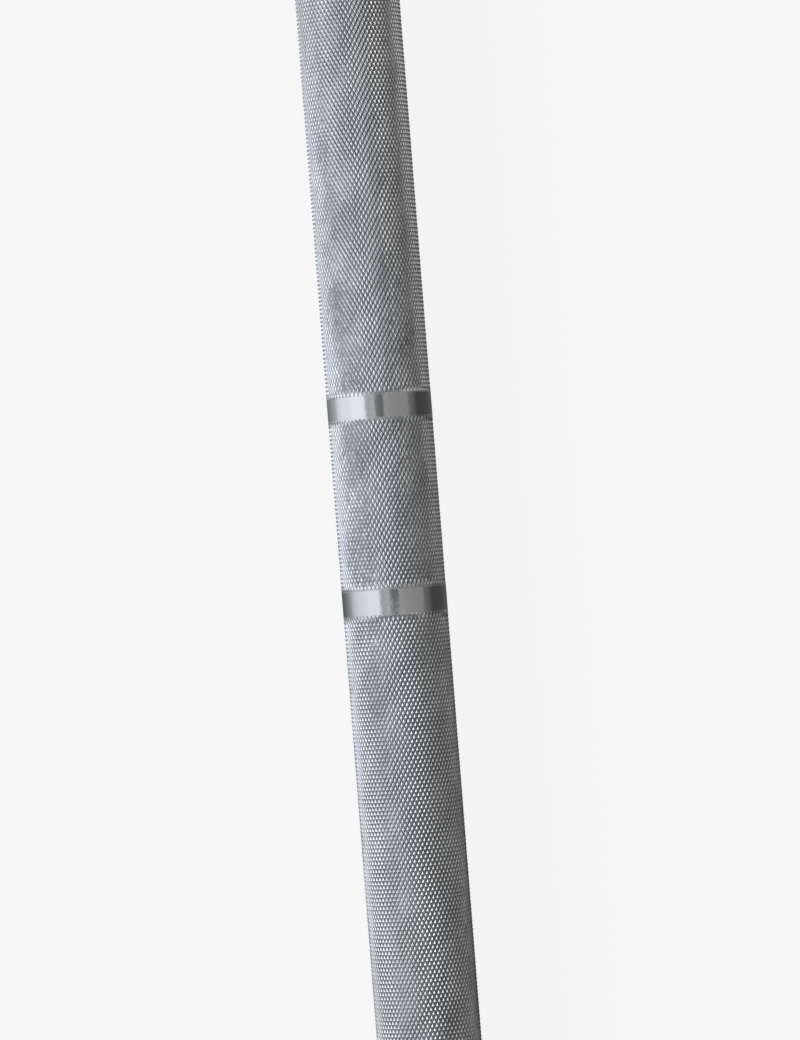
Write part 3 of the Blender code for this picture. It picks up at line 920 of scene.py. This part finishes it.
def black_oxide_spring_steel():
    """Spring steel blackened in hot salts: a dark, faintly oily satin, rubbed grey in places."""
    material, tree, shader = blank_material("black_oxide_spring_steel")
    shader.inputs["Metallic"].default_value = 1.0
    place = node(tree, "TexCoord")
    # Tools and fingers rub the black off in spots some 2.5 mm across
    rubbed = node(
        tree, "TexNoise", sockets={"Scale": 1 / (2.5 * MM), "Detail": 5.0},
        feeds={"Vector": place.outputs["Object"]},
    )
    tone = node(tree, "ValToRGB", feeds={"Fac": rubbed.outputs["Fac"]})
    tone.color_ramp.elements[0].position = 0.50
    tone.color_ramp.elements[0].color = linear(BLACK_OXIDE)
    tone.color_ramp.elements[1].position = 0.75
    tone.color_ramp.elements[1].color = linear(RUBBED_OXIDE)
    rough = node(
        tree, "MapRange", sockets={"To Min": 0.50, "To Max": 0.32}, feeds={"Value": rubbed.outputs["Fac"]},
    )
    # Rolled strip's own grain, 0.08 mm across
    skin = node(
        tree, "TexNoise", sockets={"Scale": 1 / (0.08 * MM)}, feeds={"Vector": place.outputs["Object"]},
    )
    bump = node(
        tree, "Bump", sockets={"Strength": 0.2, "Distance": 0.01 * MM}, feeds={"Height": skin.outputs["Fac"]},
    )
    tree.links.new(tone.outputs["Color"], shader.inputs["Base Color"])
    tree.links.new(rough.outputs["Result"], shader.inputs["Roughness"])
    tree.links.new(bump.outputs["Normal"], shader.inputs["Normal"])
    return material


spring_steel = black_oxide_spring_steel()
for side, sign in (("right", 1), ("left", -1)):
    on_journal = snap_ring(
        f"{side}_journal_ring", JOURNAL_GROOVE_RADIUS + RING_PLAY, *JOURNAL_RING_RADII,
        JOURNAL_RING_LOW, sign,
    )
    dress(on_journal, spring_steel, "shaft", "spring_steel", f"{side}_shaft_snap_ring")
    in_sleeve = snap_ring(
        f"{side}_cap_ring", CAP_RING_GROOVE_RADIUS - RING_PLAY, *CAP_RING_RADII, ring_low, sign,
    )
    dress(in_sleeve, spring_steel, f"{side}_sleeve", "spring_steel", f"{side}_end_cap_snap_ring")


# Studio. A pale floor runs out of sight under a soft lamp, and a long tent of glowing cloth gives
# the metal something to mirror. Only reflections see the tent, and they see it in the floor's place.
BACKGROUND = "#F8F8F8"
FLOOR_PAINT = "#F2F2F2"
FLOOR_HALF = 60.0
# How strongly the floor glows, and how much of what the camera sees of it is glow and not paint
FLOOR_GLOW = 1.03
GLOW_SHARE = 0.85
# The background's strength where it only lights things; where it is seen it has its own colour
AMBIENT = 0.8

TENT_RADIUS = 1.2
TENT_HALF = 5.0
# The cloth is painted every 1.5 degrees round it, and every 40 mm along its middle 4.8 m
CLOTH_ANGLES = [-90 + 1.5 * i for i in range(241)]
CLOTH_PLACES = [-TENT_HALF] + [i / 25 for i in range(-60, 61)] + [TENT_HALF]

# Brightness of the cloth straight across from the shot, by angle in degrees from the near horizon
# over the top and round below. Listed to follow the brightness measured across the photo's two ring
# marks, then changed.
ACROSS = [
    (-90, 0.13), (-60, 0.09), (-27, 0.08), (-21, 0.115), (-13, 0.19), (-5, 0.19), (0, 0.38), (10, 0.38),
    (26, 0.39), (38, 0.40), (45, 0.42), (51, 0.47), (54.5, 0.48), (57, 0.22), (60, 0.18), (70, 0.25),
    (74, 0.33), (77, 0.68), (80, 0.66), (84, 0.56), (95, 0.56), (98.5, 1.30), (125, 1.30), (134, 1.15),
    (156, 1.12), (162, 1.03), (168, 0.92), (174, 0.77), (180, 0.53), (193, 0.40), (212, 0.22),
    (230, 0.20), (270, 0.13),
]
# The same at END_PLACES, in metres along the bar: two on each side of the shot. These began as
# another program's fit to the photo, rounded, and were then changed by hand.
END_PLACES = (-0.20, 0.10, 0.88, 1.20)
ENDS = [
    (-90, 0.10, 0.07, 1.20, 0.30), (-60, 0.10, 0.05, 0.70, 0.30), (-40, 0.10, 0.05, 0.50, 0.50),
    (-20, 0.10, 0.05, 0.30, 1.10), (0, 0.12, 0.22, 0.50, 0.90), (15, 0.12, 0.40, 0.53, 0.30),
    (25, 0.13, 0.55, 0.55, 0.12), (50, 0.06, 1.60, 1.00, 0.05), (70, 0.05, 2.50, 1.50, 0.05),
    (90, 0.08, 1.60, 2.40, 0.15), (110, 0.18, 1.80, 2.30, 0.60), (130, 0.50, 2.30, 2.20, 0.60),
    (150, 1.00, 1.50, 1.80, 0.55), (170, 0.70, 0.30, 1.80, 0.40), (190, 0.25, 0.20, 2.20, 0.40),
    (220, 0.15, 0.10, 1.50, 0.50), (245, 0.10, 0.07, 1.20, 0.35), (270, 0.10, 0.07, 1.20, 0.40),
]
# How much darker the cloth is at the first of SHOT_PLACES and brighter at the second, as a share
SHOT_PLACES = (0.30, 0.60)
SHOT_SLOPES = [
    (-90, 0.06), (0, 0.03), (60, 0.00), (95, 0.14), (150, 0.25), (185, 0.50), (215, 0.90), (270, 0.06),
]
# Brightness at DARK_PLACES, further out, which facets that are tilted along the bar mirror
DARK_PLACES = (-0.60, -0.45, 1.5, 1.8)
DARK = [
    (-90, 0.35), (-60, 0.35), (-30, 0.30), (0, 0.25), (30, 0.15), (60, 0.09), (150, 0.09), (175, 0.30),
    (190, 0.25), (210, 0.12), (245, 0.12), (270, 0.35),
]
# From here on out it is again as bright as across from the shot, for views of the sleeves
PLAIN_PLACES = (-0.85, 2.1)

# Tint of the cloth on the camera's side of the bar, behind the bar, and behind it to either side
NEAR_TINT = (1.00, 1.00, 0.985)
FAR_TINT = (0.955, 1.00, 1.045)
SIDE_TINT = (0.950, 1.00, 1.120)
# Angles between which the tint behind the bar comes and goes, and metres from the shot's middle
# between which it turns into the one to either side
FAR_COMES = (50, 100)
FAR_GOES = (230, 270)
SIDE_COMES = (0.15, 0.40)


def seen_plainly(tree):
    """1 for what the camera sees, straight on or in metal or glass, and 0 for light on the object."""
    ray = node(tree, "LightPath")
    seen = node(
        tree, "Math", feeds={0: ray.outputs["Is Camera Ray"], 1: ray.outputs["Is Glossy Ray"]},
        operation="MAXIMUM",
    )
    return node(
        tree, "Math", feeds={0: seen.outputs["Value"], 1: ray.outputs["Is Transmission Ray"]},
        operation="MAXIMUM",
    )


world = bpy.data.worlds.new("white_studio")
world.use_nodes = True
bpy.context.scene.world = world
tree = world.node_tree
backdrop = tree.nodes["Background"]
backdrop.inputs["Color"].default_value = linear(BACKGROUND)
level = node(
    tree, "MapRange", sockets={"To Min": AMBIENT, "To Max": 1.0},
    feeds={"Value": seen_plainly(tree).outputs["Value"]},
)
tree.links.new(level.outputs["Result"], backdrop.inputs["Strength"])


def pale_floor():
    """Matt paint with a glow of its own, so that the floor runs into the background unseen."""
    material, tree, shader = blank_material("pale_floor")
    tree.nodes.remove(shader)
    paint = node(tree, "BsdfDiffuse", sockets={"Color": linear(FLOOR_PAINT)})
    glow = node(tree, "Emission", sockets={"Color": linear(BACKGROUND), "Strength": FLOOR_GLOW})
    share = node(
        tree, "Math", sockets={1: GLOW_SHARE}, feeds={0: seen_plainly(tree).outputs["Value"]},
        operation="MULTIPLY",
    )
    mix = node(
        tree, "MixShader",
        feeds={0: share.outputs["Value"], 1: paint.outputs["BSDF"], 2: glow.outputs["Emission"]},
    )
    tree.links.new(mix.outputs["Shader"], tree.nodes["Material Output"].inputs["Surface"])
    return material


floor_mesh = bpy.data.meshes.new("floor")
plate = bmesh.new()
bmesh.ops.create_grid(plate, x_segments=1, y_segments=1, size=FLOOR_HALF)
plate.to_mesh(floor_mesh)
plate.free()
floor_mesh.materials.append(pale_floor())
floor = new_piece("floor", floor_mesh)
floor.visible_glossy = False


def tent_cloth():
    """White cloth, lit unevenly: each point glows as bright as its own paint."""
    material, tree, shader = blank_material("tent_cloth")
    tree.nodes.remove(shader)
    paint = node(tree, "Attribute", attribute_name="glow")
    glow = node(tree, "Emission", feeds={"Color": paint.outputs["Color"]})
    tree.links.new(glow.outputs["Emission"], tree.nodes["Material Output"].inputs["Surface"])
    return material


def eased(value, low, high):
    """How far a value has come from low to high, 0 to 1, eased at both ends."""
    t = min(max((value - low) / (high - low), 0.0), 1.0)
    return t * t * (3 - 2 * t)


def tent_colour(angle, x):
    """The cloth's colour at an angle round the bar and a place along it: bluer behind the bar."""
    across = np.interp(angle, *zip(*ACROSS))
    stops, *columns = zip(*ENDS)
    ends = [np.interp(angle, stops, column) for column in columns]
    slope = np.interp(angle, *zip(*SHOT_SLOPES))
    shot = across * (1 - slope), across * (1 + slope)
    dark = [np.interp(angle, *zip(*DARK))] * 2
    places = (
        PLAIN_PLACES[0], *DARK_PLACES[:2], *END_PLACES[:2],
        *SHOT_PLACES,
        *END_PLACES[2:], *DARK_PLACES[2:], PLAIN_PLACES[1],
    )
    levels = across, *dark, *ends[:2], *shot, *ends[2:], *dark, across
    level = float(np.interp(x, places, levels))
    cool = eased(angle, *FAR_COMES) * (1 - eased(angle, *FAR_GOES))
    aside = eased(abs(x - sum(SHOT_PLACES) / 2), *SIDE_COMES)
    far_tint = [far + aside * (side - far) for far, side in zip(FAR_TINT, SIDE_TINT)]
    return [level * (near + cool * (far - near)) for near, far in zip(NEAR_TINT, far_tint)] + [1.0]


wide = len(CLOTH_PLACES)
cloth_points = [
    (x, -TENT_RADIUS * math.cos(math.radians(a)), AXIS_HEIGHT + TENT_RADIUS * math.sin(math.radians(a)))
    for a in CLOTH_ANGLES for x in CLOTH_PLACES
]
cloth_faces = [
    (i * wide + j, i * wide + j + 1, (i + 1) * wide + j + 1, (i + 1) * wide + j)
    for i in range(len(CLOTH_ANGLES) - 1) for j in range(wide - 1)
]
tent_mesh = bpy.data.meshes.new("tent")
tent_mesh.from_pydata(cloth_points, [], cloth_faces)
paint = tent_mesh.attributes.new("glow", "FLOAT_COLOR", "POINT")
paint.data.foreach_set("color", np.ravel([tent_colour(a, x) for a in CLOTH_ANGLES for x in CLOTH_PLACES]))
tent_mesh.materials.append(tent_cloth())
tent = new_piece("tent", tent_mesh)
tent.visible_camera = False
tent.visible_diffuse = False
tent.visible_shadow = False
tent.visible_transmission = False

soft = bpy.data.lights.new("overhead", "AREA")
soft.shape = "RECTANGLE"
soft.size = 4.0
soft.size_y = 1.5
soft.energy = 8.0
lamp = new_piece("overhead", soft)
lamp.location = (0, 0.5, 1.6)
lamp.rotation_euler = (Vector((0, 0, 0)) - lamp.location).to_track_quat("-Z", "Y").to_euler()
lamp.visible_camera = False
lamp.visible_glossy = False


# Camera. Square on to the bar from a metre and a half, with the right-hand end at the top of
# the picture and the bar leaning a little to the left.
ELEVATION = math.radians(65.0)
LEAN = math.radians(4.506)
# In the photo's pixels: its height, the focal length, the ring marks' distance, how far down the
# bar's leaning middle line the outer mark and the point nearest the picture's middle lie, and how
# far beside that line the picture's middle is
PHOTO_HEIGHT = 1040
FOCAL_PIXELS = 5605
MARKS_APART = 194.5
OUTER_MARK_DOWN = 407.8
AIM_DOWN = 522.5
AIM_BESIDE = 11.66
# Metres a pixel at the bar
SCALE = 52 * MM / MARKS_APART
# Where the outer mark appears against the middle line, as it is nearer the camera than that line
OUTER_MARK_SEEN = 457.45 * MM
# Where along the bar the camera stands, a little nearer the middle than where it aims
OPPOSITE = 410 * MM
SENSOR_WIDTH = 36.0

toward_camera = Vector((0, -math.cos(ELEVATION), math.sin(ELEVATION)))
sideways = Vector((0, -math.sin(ELEVATION), -math.cos(ELEVATION)))
camera_data = bpy.data.cameras.new("camera")
camera_data.sensor_width = SENSOR_WIDTH
camera_data.lens = SENSOR_WIDTH * FOCAL_PIXELS / PHOTO_HEIGHT
camera_data.clip_start = 0.05
camera_data.clip_end = 200.0
camera = new_piece("camera", camera_data)
image_right = sideways * math.cos(LEAN) - Vector((1, 0, 0)) * math.sin(LEAN)
beside = image_right * (AIM_BESIDE * SCALE)
aim = Vector((OUTER_MARK_SEEN - (AIM_DOWN - OUTER_MARK_DOWN) * SCALE, 0, AXIS_HEIGHT)) + beside
camera.location = Vector((OPPOSITE, 0, AXIS_HEIGHT)) + beside + toward_camera * (FOCAL_PIXELS * SCALE)
back = (camera.location - aim).normalized()
image_up = Vector((1, 0, 0)) * math.cos(LEAN) + sideways * math.sin(LEAN)
image_up = (image_up - back * image_up.dot(back)).normalized()
image_right = image_up.cross(back)
camera.matrix_world = Matrix.Translation(camera.location) @ Matrix(
    (image_right, image_up, back)
).transposed().to_4x4()
bpy.context.scene.camera = camera

bpy.context.scene.view_settings.view_transform = "Standard"
